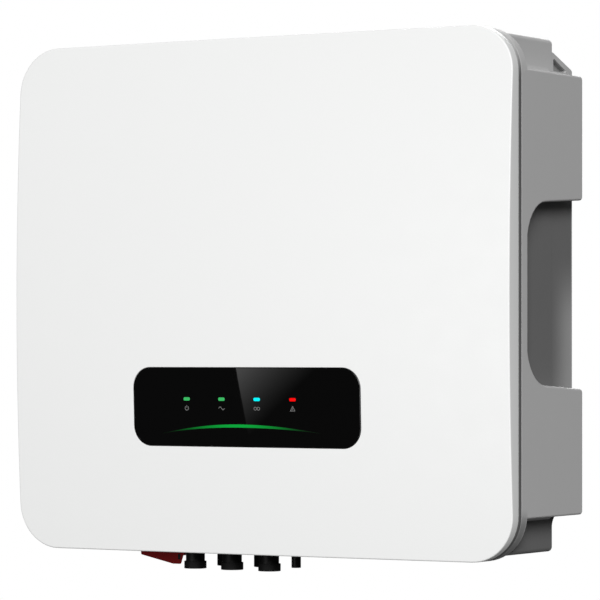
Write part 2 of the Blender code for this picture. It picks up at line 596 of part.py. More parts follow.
def make_hanging():
    """A cleat: the rail's lip on the heat sink hooks down behind the wall bracket's upturned lip."""
    rail_front = deep(BAY_BACK) + GAP
    rail = [(rail_front, 0.100), (rail_front + 0.0018, 0.100), (rail_front + 0.0018, 0.1182),
            (-0.0043, 0.1182), (-0.0043, 0.1023), (-0.0025, 0.1023), (-0.0025, 0.1200),
            (rail_front + 0.0018, 0.1200), (rail_front + 0.0018, 0.130), (rail_front, 0.130)]
    add_part("hanger_rail", prism(rail, "X", -0.150, 0.150), STEEL)
    plate = 0.0020
    cleat = [(0.0, 0.100), (0.0, 0.060), (-plate, 0.060), (-plate, 0.1000), (-0.0064, 0.1000),
             (-0.0064, 0.1120), (-0.0046, 0.1120), (-0.0046, 0.1020), (-plate, 0.1020), (-plate, 0.135),
             (0.0, 0.135)]
    bracket = add_part("wall_bracket", prism(cleat, "X", -0.160, 0.160), STEEL)
    foot = WING_BOTTOM - 0.0075
    spine = [(0.0, 0.065), (0.0, foot), (-0.029, foot), (-0.029, foot + plate), (-plate, foot + plate),
             (-plate, 0.065)]
    join(bracket, prism(spine, "X", -0.045, 0.045), "spine")
    holes = bmesh.new()
    for x in (-0.130, 0.130):
        prism(rounded_rectangle(0.024, 0.011, 0.0055, (x, 0.082), 4), "Y", 0.001, -0.003, holes)
    turned([(0, foot + 0.004), (0.0029, foot + 0.004), (0.0029, foot - 0.002), (0, foot - 0.002)],
           (0.0, lock_screw_y()), "Z", 12, holes)
    cut(bracket, holes, "holes")
    screw = [(0, WING_BOTTOM + 0.0125), (0.0025, WING_BOTTOM + 0.0125), (0.0025, foot - GAP),
             (0.0045, foot - GAP), (0.0045, foot - 0.0035), (0, foot - 0.0035)]
    add_part("lock_screw", turned(screw, (0.0, lock_screw_y()), sides=12), STEEL, smooth=True)


def main():
    for old in list(bpy.data.objects):
        bpy.data.objects.remove(old, do_unlink=True)
    make_cover()
    make_gasket()
    make_window()
    make_display()
    make_housing()
    make_heat_sink()
    make_electronics()
    make_dc_switch()
    make_front_connectors()
    make_back_connectors()
    make_outlets()
    make_cover_screws()
    make_hanging()


main()
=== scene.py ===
"""Studio view of a wall-hung string inverter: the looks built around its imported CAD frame.

Metres, in the frame's own axes: the cover faces -Y, +Z is up and the wall is the plane Y = 0.
"""

import functools
import math

import bmesh
import bpy
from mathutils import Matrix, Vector


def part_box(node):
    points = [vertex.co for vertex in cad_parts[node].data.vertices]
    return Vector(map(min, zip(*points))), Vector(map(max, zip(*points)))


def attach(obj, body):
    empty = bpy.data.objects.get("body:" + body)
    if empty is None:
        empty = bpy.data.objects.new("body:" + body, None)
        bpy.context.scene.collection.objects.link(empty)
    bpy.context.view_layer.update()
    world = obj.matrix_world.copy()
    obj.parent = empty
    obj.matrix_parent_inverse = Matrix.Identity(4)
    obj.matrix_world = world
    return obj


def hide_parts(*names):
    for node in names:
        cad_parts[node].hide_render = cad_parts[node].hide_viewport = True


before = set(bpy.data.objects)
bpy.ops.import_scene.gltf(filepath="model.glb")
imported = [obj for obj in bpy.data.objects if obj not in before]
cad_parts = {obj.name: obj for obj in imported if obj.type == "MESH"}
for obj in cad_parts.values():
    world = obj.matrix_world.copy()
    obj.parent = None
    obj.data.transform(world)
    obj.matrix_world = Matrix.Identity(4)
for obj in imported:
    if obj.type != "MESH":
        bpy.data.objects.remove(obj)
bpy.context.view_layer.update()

# ---- dimensions

COVER_LOW, COVER_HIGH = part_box("front_cover")
HOUSING_LOW, HOUSING_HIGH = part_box("rear_housing")
SINK_LOW, SINK_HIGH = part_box("heat_sink")
LENS_LOW, LENS_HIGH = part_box("display_window")

FRONT = COVER_LOW.y                    # the middle of the cover's front
COVER_WIDTH = COVER_HIGH.x - COVER_LOW.x
COVER_HEIGHT = COVER_HIGH.z - COVER_LOW.z - 0.0008
COVER_MIDDLE = (0.0, 0.0004)
CORNER_RADIUS = 0.0354
BULGE_SIDE = 0.0041                    # how far the front falls back towards its left and right edges
BULGE_END = 0.0078                     # and towards its top and bottom edges
COVER_SKIN = 0.003
RIM_WIDTH = 0.012
EDGE_ROUND = 0.0010
GAP = 0.0003

WINDOW_WIDTH = LENS_HIGH.x - LENS_LOW.x + 2 * GAP
WINDOW_HEIGHT = LENS_HIGH.z - LENS_LOW.z + 2 * GAP
WINDOW_RADIUS = 0.0161
WINDOW_CENTRE = ((LENS_LOW.x + LENS_HIGH.x) / 2, (LENS_LOW.z + LENS_HIGH.z) / 2)

FLANGE_FRONT = HOUSING_LOW.y
FLANGE_BACK = FLANGE_FRONT + 0.0096
BOX_HALF_WIDTH = 0.208
BOX_UNDERSIDE, BOX_TOP = -0.1948, 0.1955
BOX_BACK = FRONT + 0.105
BOX_EDGE = 0.0028
WALL = 0.004
WING_TOP, WING_BOTTOM = 0.168, -0.1670
WING_BACK = FRONT + 0.1243
HAND_HOLD = (0.0681, 0.0733, -0.0711, -0.0663)     # heights of its top front, top back, low back, low front
BAY_FRONT = FRONT + 0.093              # where the bay's side walls rise out of the box's sides
BAY_BACK = HOUSING_HIGH.y
BAY_WALL = 0.008
GUSSET_TOP, RECESS_LOW = 0.1861, 0.1716          # the recess is sunk in the gusset's outer face
UNDER = BOX_UNDERSIDE - GAP            # where the collars under the box begin

CORNER_STEPS, EDGE_STEPS = 14, 18


# ---- outlines

def rounded_rectangle(width, height, radius, centre=(0.0, 0.0), corner_steps=CORNER_STEPS, edge_steps=1):
    """Points round a rectangle with arcs at its corners and its straight edges split evenly."""
    points = []
    for quarter, (sx, sz) in enumerate(((1, 1), (-1, 1), (-1, -1), (1, -1))):
        cx, cz = sx * (width / 2 - radius), sz * (height / 2 - radius)
        arc = [(cx + radius * math.cos(math.pi / 2 * (quarter + i / corner_steps)),
                cz + radius * math.sin(math.pi / 2 * (quarter + i / corner_steps)))
               for i in range(corner_steps + 1)]
        if points:
            points += between(points[-1], arc[0], edge_steps)
        points += arc
    points += between(points[-1], points[0], edge_steps)
    return [(x + centre[0], z + centre[1]) for x, z in points]


def cover_outline(inset, edge_steps=1):
    return rounded_rectangle(COVER_WIDTH - 2 * inset, COVER_HEIGHT - 2 * inset, CORNER_RADIUS - inset,
                             COVER_MIDDLE, edge_steps=edge_steps)


def window_outline(grow):
    return rounded_rectangle(WINDOW_WIDTH + 2 * grow, WINDOW_HEIGHT + 2 * grow, WINDOW_RADIUS + grow,
                             WINDOW_CENTRE, edge_steps=EDGE_STEPS)


def quarter_turn(steps):
    """How far a rounded edge stands back on either side, in shares of its radius, along its arc."""
    turns = [math.pi / 2 * k / steps for k in range(steps + 1)]
    return [(1 - math.sin(turn), 1 - math.cos(turn)) for turn in turns]


def between(start, end, steps):
    return [(start[0] + (end[0] - start[0]) * i / steps, start[1] + (end[1] - start[1]) * i / steps)
            for i in range(1, steps)]


def rounded_outline(corners, steps=6):
    """A polygon of (a, b, radius) corners, each rounded by its radius."""
    points = []
    for i, (a, b, radius) in enumerate(corners):
        here = Vector((a, b))
        if radius == 0:
            points.append((a, b))
            continue
        u = (Vector(corners[i - 1][:2]) - here).normalized()
        v = (Vector(corners[(i + 1) % len(corners)][:2]) - here).normalized()
        half = u.angle(v) / 2
        centre = here + (u + v).normalized() * (radius / math.sin(half))
        start = here + u * (radius / math.tan(half)) - centre
        end = here + v * (radius / math.tan(half)) - centre
        first = math.atan2(start.y, start.x)
        turn = (math.atan2(end.y, end.x) - first + math.pi) % (2 * math.pi) - math.pi
        for k in range(steps + 1):
            angle = first + turn * k / steps
            points.append((centre.x + radius * math.cos(angle), centre.y + radius * math.sin(angle)))
    return points


def circle(centre, radius, steps=48):
    return [(centre[0] + radius * math.cos(2 * math.pi * (i + 0.5) / steps),
             centre[1] + radius * math.sin(2 * math.pi * (i + 0.5) / steps)) for i in range(steps)]


def dome(x, z):
    """The Y of the cover's domed front."""
    side = x / (COVER_WIDTH / 2)
    end = z / (COVER_HEIGHT / 2)
    return FRONT + BULGE_SIDE * side ** 2 + BULGE_END * end ** 2


# ---- meshes

def skin_rings(rings, mesh=None, closed=False):
    """Bridges successive rings of points; open ends are capped, and a ring of one point is a tip."""
    mesh = mesh or bmesh.new()
    loops = [[mesh.verts.new(point) for point in ring] for ring in rings]
    pairs = list(zip(loops, loops[1:]))
    if closed:
        pairs.append((loops[-1], loops[0]))
    for first, second in pairs:
        count = max(len(first), len(second))
        for i in range(count):
            j = (i + 1) % count
            corners = [first[i % len(first)], first[j % len(first)],
                       second[j % len(second)], second[i % len(second)]]
            mesh.faces.new(list(dict.fromkeys(corners)))
    if not closed:
        for loop in (loops[0], loops[-1]):
            if len(loop) > 2:
                mesh.faces.new(loop)
    return mesh


def ring_at(outline, axis, along):
    """An outline's points in space, drawn square to an axis at a place along it."""
    return [{"X": (along, a, b), "Y": (a, along, b), "Z": (a, b, along)}[axis] for a, b in outline]


def on_dome(outline, offset):
    """An outline's points on the cover's dome, or behind it by an offset."""
    return [(x, dome(x, z) + offset, z) for x, z in outline]


def prism(outline, axis, start, end):
    """An outline drawn square to an axis and extruded from start to end along it."""
    return skin_rings([ring_at(outline, axis, along) for along in (start, end)])


def block(low, high):
    outline = [(low[0], low[1]), (high[0], low[1]), (high[0], high[1]), (low[0], high[1])]
    return prism(outline, "Z", low[2], high[2])


def turned(profile, centre, axis="Z", sides=56, soft=0.0):
    """A turned piece from (radius, position along the axis) pairs; a radius of 0 closes it."""
    if soft:
        profile = soft_profile(profile, soft)
    return skin_rings([ring_at(circle(centre, radius, sides) if radius > 0 else [centre], axis, along)
                       for radius, along in profile])


def soft_profile(profile, radius, steps=3):
    """A turned profile whose outer corners are rounded."""
    points = []
    for i, (r, along) in enumerate(profile):
        here = Vector((r, along))
        if r == 0 or i in (0, len(profile) - 1):
            points.append((r, along))
            continue
        before, after = Vector(profile[i - 1]), Vector(profile[i + 1])
        reach = min(radius, (before - here).length * 0.45, (after - here).length * 0.45)
        a, c = here + (before - here).normalized() * reach, here + (after - here).normalized() * reach
        for k in range(steps + 1):
            t = k / steps
            p = (1 - t) ** 2 * a + 2 * t * (1 - t) * here + t ** 2 * c
            points.append((p.x, p.y))
    return points


def round_edges(mesh, width, segments=3, angle=35, keep=lambda edge: True):
    """Rounds every edge sharper than an angle, in degrees."""
    bmesh.ops.recalc_face_normals(mesh, faces=mesh.faces)
    edges = [e for e in mesh.edges
             if e.is_manifold and e.calc_face_angle() > math.radians(angle) and keep(e)]
    bmesh.ops.bevel(mesh, geom=edges, offset=width, segments=segments, profile=0.5,
                    affect="EDGES", clamp_overlap=True)
    return mesh


def boolean(base, operation, *tools):
    """Joins tools to a mesh, or cuts them out of it, and returns the outcome."""
    objects = []
    for mesh in (base, *tools):
        bmesh.ops.recalc_face_normals(mesh, faces=mesh.faces)
        data = bpy.data.meshes.new("shaping")
        mesh.to_mesh(data)
        mesh.free()
        held = bpy.data.objects.new("shaping", data)
        bpy.context.scene.collection.objects.link(held)
        objects.append(held)
    for tool in objects[1:]:
        modifier = objects[0].modifiers.new("shape", "BOOLEAN")
        modifier.operation = operation
        modifier.solver = "EXACT"
        modifier.object = tool
    bpy.context.view_layer.update()
    graph = bpy.context.evaluated_depsgraph_get()
    outcome = bpy.data.meshes.new_from_object(objects[0].evaluated_get(graph))
    result = bmesh.new()
    result.from_mesh(outcome)
    bpy.data.meshes.remove(outcome)
    for held in objects:
        bpy.data.meshes.remove(held.data)
    bmesh.ops.dissolve_limit(result, angle_limit=math.radians(0.3), verts=result.verts, edges=result.edges)
    return result


def add_piece(name, mesh, finish, body="inverter", replaces=(), smooth=38, weighted=True):
    """Makes one shown piece that rides on a body and takes its finish from a slot of the record."""
    bmesh.ops.recalc_face_normals(mesh, faces=mesh.faces)
    data = bpy.data.meshes.new(name)
    mesh.to_mesh(data)
    mesh.free()
    data.shade_smooth()
    data.set_sharp_from_angle(angle=math.radians(smooth))
    data.materials.append(FINISHES[finish])
    piece = bpy.data.objects.new(name, data)
    bpy.context.scene.collection.objects.link(piece)
    if weighted:
        modifier = piece.modifiers.new("even_shading", "WEIGHTED_NORMAL")
        modifier.keep_sharp = True
    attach(piece, body)
    if replaces:
        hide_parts(*replaces)
    return piece


# ---- finishes

def finish(name, colour, roughness, metallic=0.0, grain=0.0, grain_size=0.001, mottle=0.0, streaks=False,
           specular=0.5, emission=None):
    """A Principled finish with a fine procedural grain, mottling and, if asked, extrusion streaks."""
    material = bpy.data.materials.new(name)
    material.use_nodes = True
    nodes, links = material.node_tree.nodes, material.node_tree.links
    shader = nodes["Principled BSDF"]
    shader.inputs["Base Color"].default_value = (*colour, 1.0)
    shader.inputs["Roughness"].default_value = roughness
    shader.inputs["Metallic"].default_value = metallic
    shader.inputs["Specular IOR Level"].default_value = specular
    if emission:
        shader.inputs["Emission Color"].default_value = (*emission, 1.0)
        shader.inputs["Emission Strength"].default_value = 1.0
    place = nodes.new("ShaderNodeTexCoord").outputs["Object"]
    if streaks:
        stretch = nodes.new("ShaderNodeMapping")
        stretch.inputs["Scale"].default_value = (1.0, 1.0, 0.02)
        links.new(place, stretch.inputs["Vector"])
        place = stretch.outputs["Vector"]

    def noise(size, detail):
        node = nodes.new("ShaderNodeTexNoise")
        node.inputs["Scale"].default_value = 1.0 / size
        node.inputs["Detail"].default_value = detail
        links.new(place, node.inputs["Vector"])
        return node.outputs["Fac"]

    if grain:
        bump = nodes.new("ShaderNodeBump")
        bump.inputs["Strength"].default_value = grain
        bump.inputs["Distance"].default_value = grain_size * 0.3
        links.new(noise(grain_size, 3.0), bump.inputs["Height"])
        links.new(bump.outputs["Normal"], shader.inputs["Normal"])
    if mottle:
        ramp = nodes.new("ShaderNodeMapRange")
        for end, value in (("From Min", 0.3), ("From Max", 0.7), ("To Min", max(0.005, roughness - mottle)),
                           ("To Max", roughness + mottle)):
            ramp.inputs[end].default_value = value
        links.new(noise(0.02, 2.0), ramp.inputs["Value"])
        links.new(ramp.outputs["Result"], shader.inputs["Roughness"])
    return material


FINISHES = {name: finish(name, **look) for name, look in {
    "cover_white": dict(colour=(0.845, 0.85, 0.845), roughness=0.42, grain=0.10, grain_size=0.0012,
                        mottle=0.03),
    "housing_grey": dict(colour=(0.53, 0.53, 0.53), roughness=0.62, specular=0.2, grain=0.25,
                         grain_size=0.0008, mottle=0.04),
    "fin_aluminium": dict(colour=(0.60, 0.61, 0.62), roughness=0.45, metallic=0.85, grain=0.10,
                          grain_size=0.0006, mottle=0.05, streaks=True),
    "seal_rubber": dict(colour=(0.13, 0.13, 0.13), roughness=0.75, grain=0.2, grain_size=0.0008),
    "cap_rubber": dict(colour=(0.005, 0.005, 0.005), roughness=0.62, specular=0.15, grain=0.15,
                       grain_size=0.0007, mottle=0.05),
    "window_black": dict(colour=(0.0004, 0.0004, 0.0004), roughness=0.012, mottle=0.004),
    "black_plastic": dict(colour=(0.005, 0.005, 0.005), roughness=0.48, specular=0.15, grain=0.15,
                          grain_size=0.0007, mottle=0.05),
    "switch_red": dict(colour=(0.27, 0.003, 0.003), roughness=0.5, specular=0.12, grain=0.05,
                       grain_size=0.0008, mottle=0.04),
    "circuit_board": dict(colour=(0.01, 0.10, 0.04), roughness=0.45, grain=0.3, grain_size=0.002),
    "cable_grey": dict(colour=(0.45, 0.46, 0.47), roughness=0.50, grain=0.1, grain_size=0.001),
    "choke_core": dict(colour=(0.45, 0.22, 0.10), roughness=0.40, metallic=0.6, grain=0.4, grain_size=0.0015),
    "zinc_steel": dict(colour=(0.60, 0.61, 0.62), roughness=0.46, metallic=0.6, grain=0.12,
                       grain_size=0.0025, mottle=0.06),
    "light_green": dict(colour=(0.01, 0.07, 0.02), roughness=0.3, mottle=0.03, specular=0.08,
                        emission=(0.035, 0.42, 0.105)),
    "light_cyan": dict(colour=(0.0, 0.06, 0.07), roughness=0.3, mottle=0.03, specular=0.08,
                       emission=(0.0, 0.92, 0.96)),
    "light_red": dict(colour=(0.06, 0.0, 0.0), roughness=0.3, mottle=0.03, specular=0.08,
                      emission=(0.92, 0.0, 0.0)),
    "print_green": dict(colour=(0.0, 0.37, 0.042), roughness=0.5, mottle=0.03, specular=0.08),
    "print_grey": dict(colour=(0.20, 0.20, 0.20), roughness=0.5, mottle=0.03, specular=0.1),
}.items()}


class Painter:
    """Adds nodes to a material that change it by the place on the object."""

    def __init__(self, material):
        self.nodes, self.links = material.node_tree.nodes, material.node_tree.links
        self.place = self.nodes.new("ShaderNodeTexCoord").outputs["Object"]
        split = self.nodes.new("ShaderNodeSeparateXYZ")
        self.links.new(self.place, split.inputs["Vector"])
        self.x, self.y, self.z = (split.outputs[axis] for axis in "XYZ")

    def maths(self, operation, a, b=0.0):
        node = self.nodes.new("ShaderNodeMath")
        node.operation = operation
        for socket, value in zip(node.inputs, (a, b)):
            if isinstance(value, bpy.types.NodeSocket):
                self.links.new(value, socket)
            else:
                socket.default_value = value
        return node.outputs["Value"]

    def times(self, *values):
        return functools.reduce(functools.partial(self.maths, "MULTIPLY"), values)

    def rest(self, share):
        return self.maths("SUBTRACT", 1.0, share)

    def ramp(self, value, start, end, low=0.0, high=1.0, kind="SMOOTHSTEP"):
        node = self.nodes.new("ShaderNodeMapRange")
        node.interpolation_type = kind
        for name, number in (("From Min", start), ("From Max", end), ("To Min", low), ("To Max", high)):
            node.inputs[name].default_value = number
        self.links.new(value, node.inputs["Value"])
        return node.outputs["Result"]

    def blend_colour(self, share, low=None, high=None):
        """Mixes the base colour between two colours; the one not given is the finish's own."""
        base = self.nodes["Principled BSDF"].inputs["Base Color"]
        mix = self.nodes.new("ShaderNodeMix")
        mix.data_type = "RGBA"
        mix.inputs["A"].default_value = low or base.default_value[:]
        mix.inputs["B"].default_value = high or base.default_value[:]
        self.links.new(share, mix.inputs["Factor"])
        self.links.new(mix.outputs["Result"], base)


BLACK = (0.0, 0.0, 0.0, 1.0)
# How dark the painted shade beside the gussets and on the flange's lower corners is.
GUSSET_PAINTED_SHADE, CORNER_PAINTED_SHADE = 0.40, 0.46


def paint_shade_into_recesses(material):
    """Paints shade into the grey paint: darker in the hand holds, below the wings, beside the gussets and at
    the flange's feet.
    """
    paint = Painter(material)
    times, rest, ramp = paint.times, paint.rest, paint.ramp
    x, y, z = paint.maths("ABSOLUTE", paint.x), paint.y, paint.z
    inner = times(ramp(x, BOX_HALF_WIDTH + 0.0012, BOX_HALF_WIDTH + 0.0008),
                  ramp(x, BOX_HALF_WIDTH - 0.0042, BOX_HALF_WIDTH - 0.0022))
    behind = times(ramp(y, FLANGE_BACK - 0.001, FLANGE_BACK + 0.001),
                   ramp(y, BAY_BACK - 0.0004, BAY_BACK - 0.0020))
    top, bottom = HAND_HOLD[1:3]
    hold = times(ramp(z, top + 0.003, top - 0.001), ramp(z, bottom - 0.003, bottom + 0.001))
    # Painted shade on the hand holds' inner walls, lifting as painted light towards their open back low corner.
    open_corner_painted_light = times(ramp(y, FRONT + 0.098, FRONT + 0.140), ramp(z, 0.034, -0.026))
    hold_painted_shade = paint.maths("ADD", times(open_corner_painted_light, 0.42), 0.33)
    # Painted shadow of the wings on the box's sides below them.
    below = ramp(z, WING_BOTTOM + 0.001, WING_BOTTOM - 0.001)
    below_painted_shade = ramp(z, WING_BOTTOM - 0.001, WING_BOTTOM - 0.022, 0.22, 0.31)
    # Painted shade in the recess beside each gusset.
    gusset = times(ramp(x, BOX_HALF_WIDTH - 0.0008, BOX_HALF_WIDTH - 0.0025),
                   times(ramp(x, BOX_HALF_WIDTH - 0.0070, BOX_HALF_WIDTH - 0.0060),
                         ramp(y, BOX_BACK + 0.0002, BOX_BACK + 0.0010)))
    # Painted shade on the flange's lower corners.
    corner = times(ramp(y, FLANGE_BACK + 0.0014, FLANGE_BACK - 0.0034), ramp(z, -0.158, -0.1735))
    edges = paint.maths("MAXIMUM", times(gusset, GUSSET_PAINTED_SHADE), times(corner, CORNER_PAINTED_SHADE))
    # The painted shade blends the base colour towards black, and it stays there under any light.
    paint.blend_colour(times(rest(times(hold, inner, behind, rest(hold_painted_shade))),
                             rest(times(below, inner, behind, rest(below_painted_shade))), rest(edges)), low=BLACK)


def fade_along_x(material, middle_x, reach):
    """Fades a print's colour to almost nothing on both sides of its middle."""
    paint = Painter(material)
    away = paint.maths("ABSOLUTE", paint.maths("SUBTRACT", paint.x, middle_x))
    paint.blend_colour(paint.ramp(away, 0.0, reach, 1.0, 0.03), low=BLACK)


def pale_above(material, start, end, pale):
    """Lets a colour grow pale between two heights, as light from above reaches into a gap."""
    paint = Painter(material)
    paint.blend_colour(paint.ramp(paint.z, start, end), high=(pale, pale, pale, 1.0))


# Painted shade in the housing's recesses and at the flange's feet.
paint_shade_into_recesses(FINISHES["housing_grey"])
pale_above(FINISHES["seal_rubber"], 0.158, 0.188, 0.55)
fade_along_x(FINISHES["print_green"], -0.0113, 0.066)


# ---- cover and display

def blend_rings(inner, outer, offset, shares):
    """Rings on the dome between two outlines of as many points."""
    rings = []
    for share in shares:
        ring = [(a[0] + (b[0] - a[0]) * share, a[1] + (b[1] - a[1]) * share) for a, b in zip(inner, outer)]
        rings.append(on_dome(ring, offset))
    return rings


def make_cover():
    """The domed white cover: a shell with a rolled front edge, a turned-back side and a window opening."""
    lip, back_round, steps, spans = 0.0003, 0.0005, 6, 26
    rings = [on_dome(window_outline(lip * back), lip * fall) for fall, back in quarter_turn(steps)]
    rings += blend_rings(window_outline(lip), cover_outline(EDGE_ROUND, EDGE_STEPS), 0.0,
                         [0.003] + [i / spans for i in range(1, spans)] + [0.997])
    rings += [on_dome(cover_outline(EDGE_ROUND * back, EDGE_STEPS), EDGE_ROUND * fall)
              for back, fall in quarter_turn(steps)]
    for y, inset in ((COVER_HIGH.y - back_round, 0.0), (COVER_HIGH.y, back_round), (COVER_HIGH.y, RIM_WIDTH)):
        rings.append(ring_at(cover_outline(inset, EDGE_STEPS), "Y", y))
    rings += blend_rings(cover_outline(RIM_WIDTH, EDGE_STEPS), window_outline(0.0), COVER_SKIN,
                         [i / 12 for i in range(13)])
    add_piece("cover_shell", skin_rings(rings, closed=True), "cover_white", replaces=["front_cover"],
              weighted=False)


def make_gasket():
    low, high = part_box("cover_gasket")
    width, soft = 0.0110, 0.0002
    rings = [ring_at(cover_outline(inset), "Y", y)
             for inset, y in ((soft, low.y), (0.0, low.y + soft), (0.0, high.y - soft), (soft, high.y),
                              (width, high.y), (width, low.y))]
    add_piece("gasket_ring", skin_rings(rings, closed=True), "seal_rubber", replaces=["cover_gasket"])


def make_lens():
    """The gloss window, a hair behind the cover's face and following its dome."""
    soft, steps, spans = 0.0003, 4, 8
    centre = [WINDOW_CENTRE] * len(window_outline(-GAP))
    rings = [on_dome([WINDOW_CENTRE], GAP / 2)]
    rings += blend_rings(centre, window_outline(-GAP - soft), GAP / 2,
                         [i / spans for i in range(1, spans)] + [0.998])
    rings += [on_dome(window_outline(-GAP - soft * back), GAP / 2 + soft * fall)
              for back, fall in quarter_turn(steps)]
    rings += [on_dome(window_outline(-GAP), COVER_SKIN), on_dome([WINDOW_CENTRE], COVER_SKIN)]
    add_piece("window_lens", skin_rings(rings), "window_black", replaces=["display_window"], weighted=False)


PRINT_PROUD, PRINT_DEPTH = 0.00006, 0.0004


def ribbon(points, widths, mesh=None, closed=False):
    """A printed line on the lens with mitred corners: one solid that follows the dome."""
    points = [Vector(point) for point in points]
    count = len(points)
    rings = []
    for i, point in enumerate(points):
        before = points[i - 1] if i or closed else point
        after = points[(i + 1) % count] if i < count - 1 or closed else point
        into, onward = (point - before).normalized(), (after - point).normalized()
        along = (into + onward).normalized()
        mitre = max(0.45, along.dot(onward if onward.length else into))
        across = Vector((-along.y, along.x)) * widths[i] / 2 / mitre
        rings.append([(place.x, dome(*place) + GAP / 2 + depth, place.y) for place, depth in (
            (point - across, -PRINT_PROUD), (point - across, PRINT_DEPTH),
            (point + across, PRINT_DEPTH), (point + across, -PRINT_PROUD))])
    return skin_rings(rings, mesh, closed)


def make_lights():
    for node, colour in (("power_light", "light_green"), ("string_light", "light_green"),
                         ("link_light", "light_cyan"), ("alarm_light", "light_red")):
        low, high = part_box(node)
        x, z = middle(node, "xz")
        width, height = high.x - low.x - 0.0008, high.z - low.z - 0.0010
        outline = rounded_rectangle(width, height, height * 0.42, (x, z), 8)
        rings = []
        for inset, proud in ((0.0006, 0.00022), (0.0002, 0.00018), (0.0, 0.0001), (0.0, -0.0045)):
            scale_x, scale_z = 1 - 2 * inset / width, 1 - 2 * inset / height
            ring = [(x + (a - x) * scale_x, z + (b - z) * scale_z) for a, b in outline]
            rings.append(on_dome(ring, GAP / 2 - proud))
        add_piece(node + "_guide", skin_rings(rings), colour, replaces=[node])


ICON_Z = -0.0862
ICON_SIZE = 0.0019


def make_icons():
    """A small plain symbol under each light: on/off, wave, link and warning."""
    size = ICON_SIZE
    power, wave, link, warning = [middle(node)[0] for node in ("power_light", "string_light", "link_light",
                                                               "alarm_light")]
    mesh = bmesh.new()

    def line(points, closed=False):
        ribbon([(x, ICON_Z + size * z) for x, z in points], [0.00042] * len(points), mesh, closed)

    def arc(x, radius, start, end, steps):
        turns = [math.radians(start + (end - start) * i / steps) for i in range(steps + 1)]
        return [(x + size * radius * math.cos(turn), radius * math.sin(turn)) for turn in turns]

    line(arc(power, 0.85, 125, 415, 16))
    line([(power, 0.15), (power, 1.15)])
    line([(wave + size * (0.175 * i - 1.4), 0.6 * math.sin(math.pi * i / 8)) for i in range(17)])
    for side in (-1, 1):
        line(arc(link + side * size * 0.75, 0.62, 0, 360, 16)[:-1], closed=True)
    line([(warning, 1.0), (warning - size * 1.05, -0.8), (warning + size * 1.05, -0.8)], closed=True)
    line([(warning, 0.3), (warning, -0.35)])
    add_piece("window_icons", mesh, "print_grey", weighted=False)


ARC_LEFT, ARC_PEAK, ARC_RIGHT = (-0.0812, -0.1060), (-0.0113, -0.0997), (0.0621, -0.1046)
ARC_WIDTH = 0.0024


def make_accent_line():
    """A thin green line across the window, bowed upwards and tapering to its ends."""
    steps = 60
    points, widths = [], []
    for i in range(steps + 1):
        t = i / steps
        x = ARC_LEFT[0] + (ARC_RIGHT[0] - ARC_LEFT[0]) * t
        end = ARC_LEFT if x < ARC_PEAK[0] else ARC_RIGHT
        share = (x - ARC_PEAK[0]) / (end[0] - ARC_PEAK[0])
        points.append((x, ARC_PEAK[1] + (end[1] - ARC_PEAK[1]) * share ** 2))
        widths.append(ARC_WIDTH * max(0.03, math.sin(math.pi * t)))
    mesh = ribbon(points, widths)
    add_piece("window_accent_line", mesh, "print_green", weighted=False)


# ---- housing

def flange_mesh():
    """The plate behind the gasket, with a fine front edge and a rounder back one."""
    front_round, back_round = 0.0003, 0.0010
    rings = [(front_round * side, FLANGE_FRONT + front_round * along) for side, along in quarter_turn(5)]
    rings += [(back_round * side, FLANGE_BACK - back_round * along) for along, side in quarter_turn(5)]
    return skin_rings([ring_at(cover_outline(inset), "Y", y) for inset, y in rings])


def box_mesh():
    """The deep box, with rounded long edges and a rolled back edge."""
    rings = [(0.0, FLANGE_BACK - 0.003)]
    rings += [(BOX_EDGE * side, BOX_BACK - BOX_EDGE * along) for along, side in quarter_turn(6)]
    corner, height, centre = BOX_EDGE + 0.0008, BOX_TOP - BOX_UNDERSIDE, (0.0, (BOX_TOP + BOX_UNDERSIDE) / 2)
    return skin_rings([ring_at(rounded_rectangle(2 * (BOX_HALF_WIDTH - inset), height - 2 * inset,
                                                 corner - inset, centre, corner_steps=6), "Y", y)
                       for inset, y in rings])


def wing_outline():
    """A side wing with its hand hold, as (Y, Z) points."""
    front = FLANGE_FRONT + 0.004
    top_front, top_back, low_back, low_front = HAND_HOLD
    return rounded_outline([
        (front, WING_BOTTOM, 0), (WING_BACK, WING_BOTTOM, 0.003), (WING_BACK, low_back, 0.003),
        (FLANGE_BACK, low_front, 0.032), (FLANGE_BACK, top_front, 0.032), (WING_BACK, top_back, 0.003),
        (WING_BACK, WING_TOP, 0.003), (front, WING_TOP, 0)], 8)


def bay_outline():
    """A side wall of the heat-sink bay, with the gusset that rises behind the box's top."""
    return rounded_outline([
        (BAY_FRONT, WING_BOTTOM + 0.001, 0.002), (BAY_BACK, WING_BOTTOM + 0.001, 0.003),
        (BAY_BACK, GUSSET_TOP - 0.0122, 0.002), (BOX_BACK - 0.0010, GUSSET_TOP, 0.0015),
        (BOX_BACK - 0.0060, GUSSET_TOP - 0.004, 0), (BOX_BACK - 0.0060, WING_TOP - 0.001, 0),
        (BAY_FRONT, WING_TOP - 0.001, 0.002)], 4)


def fillet_outline(corner, signs, radius):
    """The section of a concave fillet in an inside corner, buried a little in both walls."""
    (a, b), (sa, sb), bury = corner, signs, 0.001
    outline = [(a - sa * bury, b - sb * bury), (a + sa * radius, b - sb * bury)]
    outline += [(a + sa * radius * back, b + sb * radius * fall) for back, fall in quarter_turn(8)]
    outline.append((a - sa * bury, b + sb * radius))
    return outline


def bay_fillet(side):
    """The concave fillet below a bay wall, its outer edge rounded like the box's."""
    outline = fillet_outline((BOX_BACK, WING_BOTTOM + 0.0002), (1, -1), 0.0120)
    rings = [[(side * (BOX_HALF_WIDTH - BAY_WALL), a, b) for a, b in outline]]
    for inset, back in quarter_turn(5):
        x, back = BOX_HALF_WIDTH - 0.0001 - BOX_EDGE * inset, BOX_EDGE * back
        rings.append([(side * x, a - back, b + back) for a, b in outline])
    return skin_rings(rings)


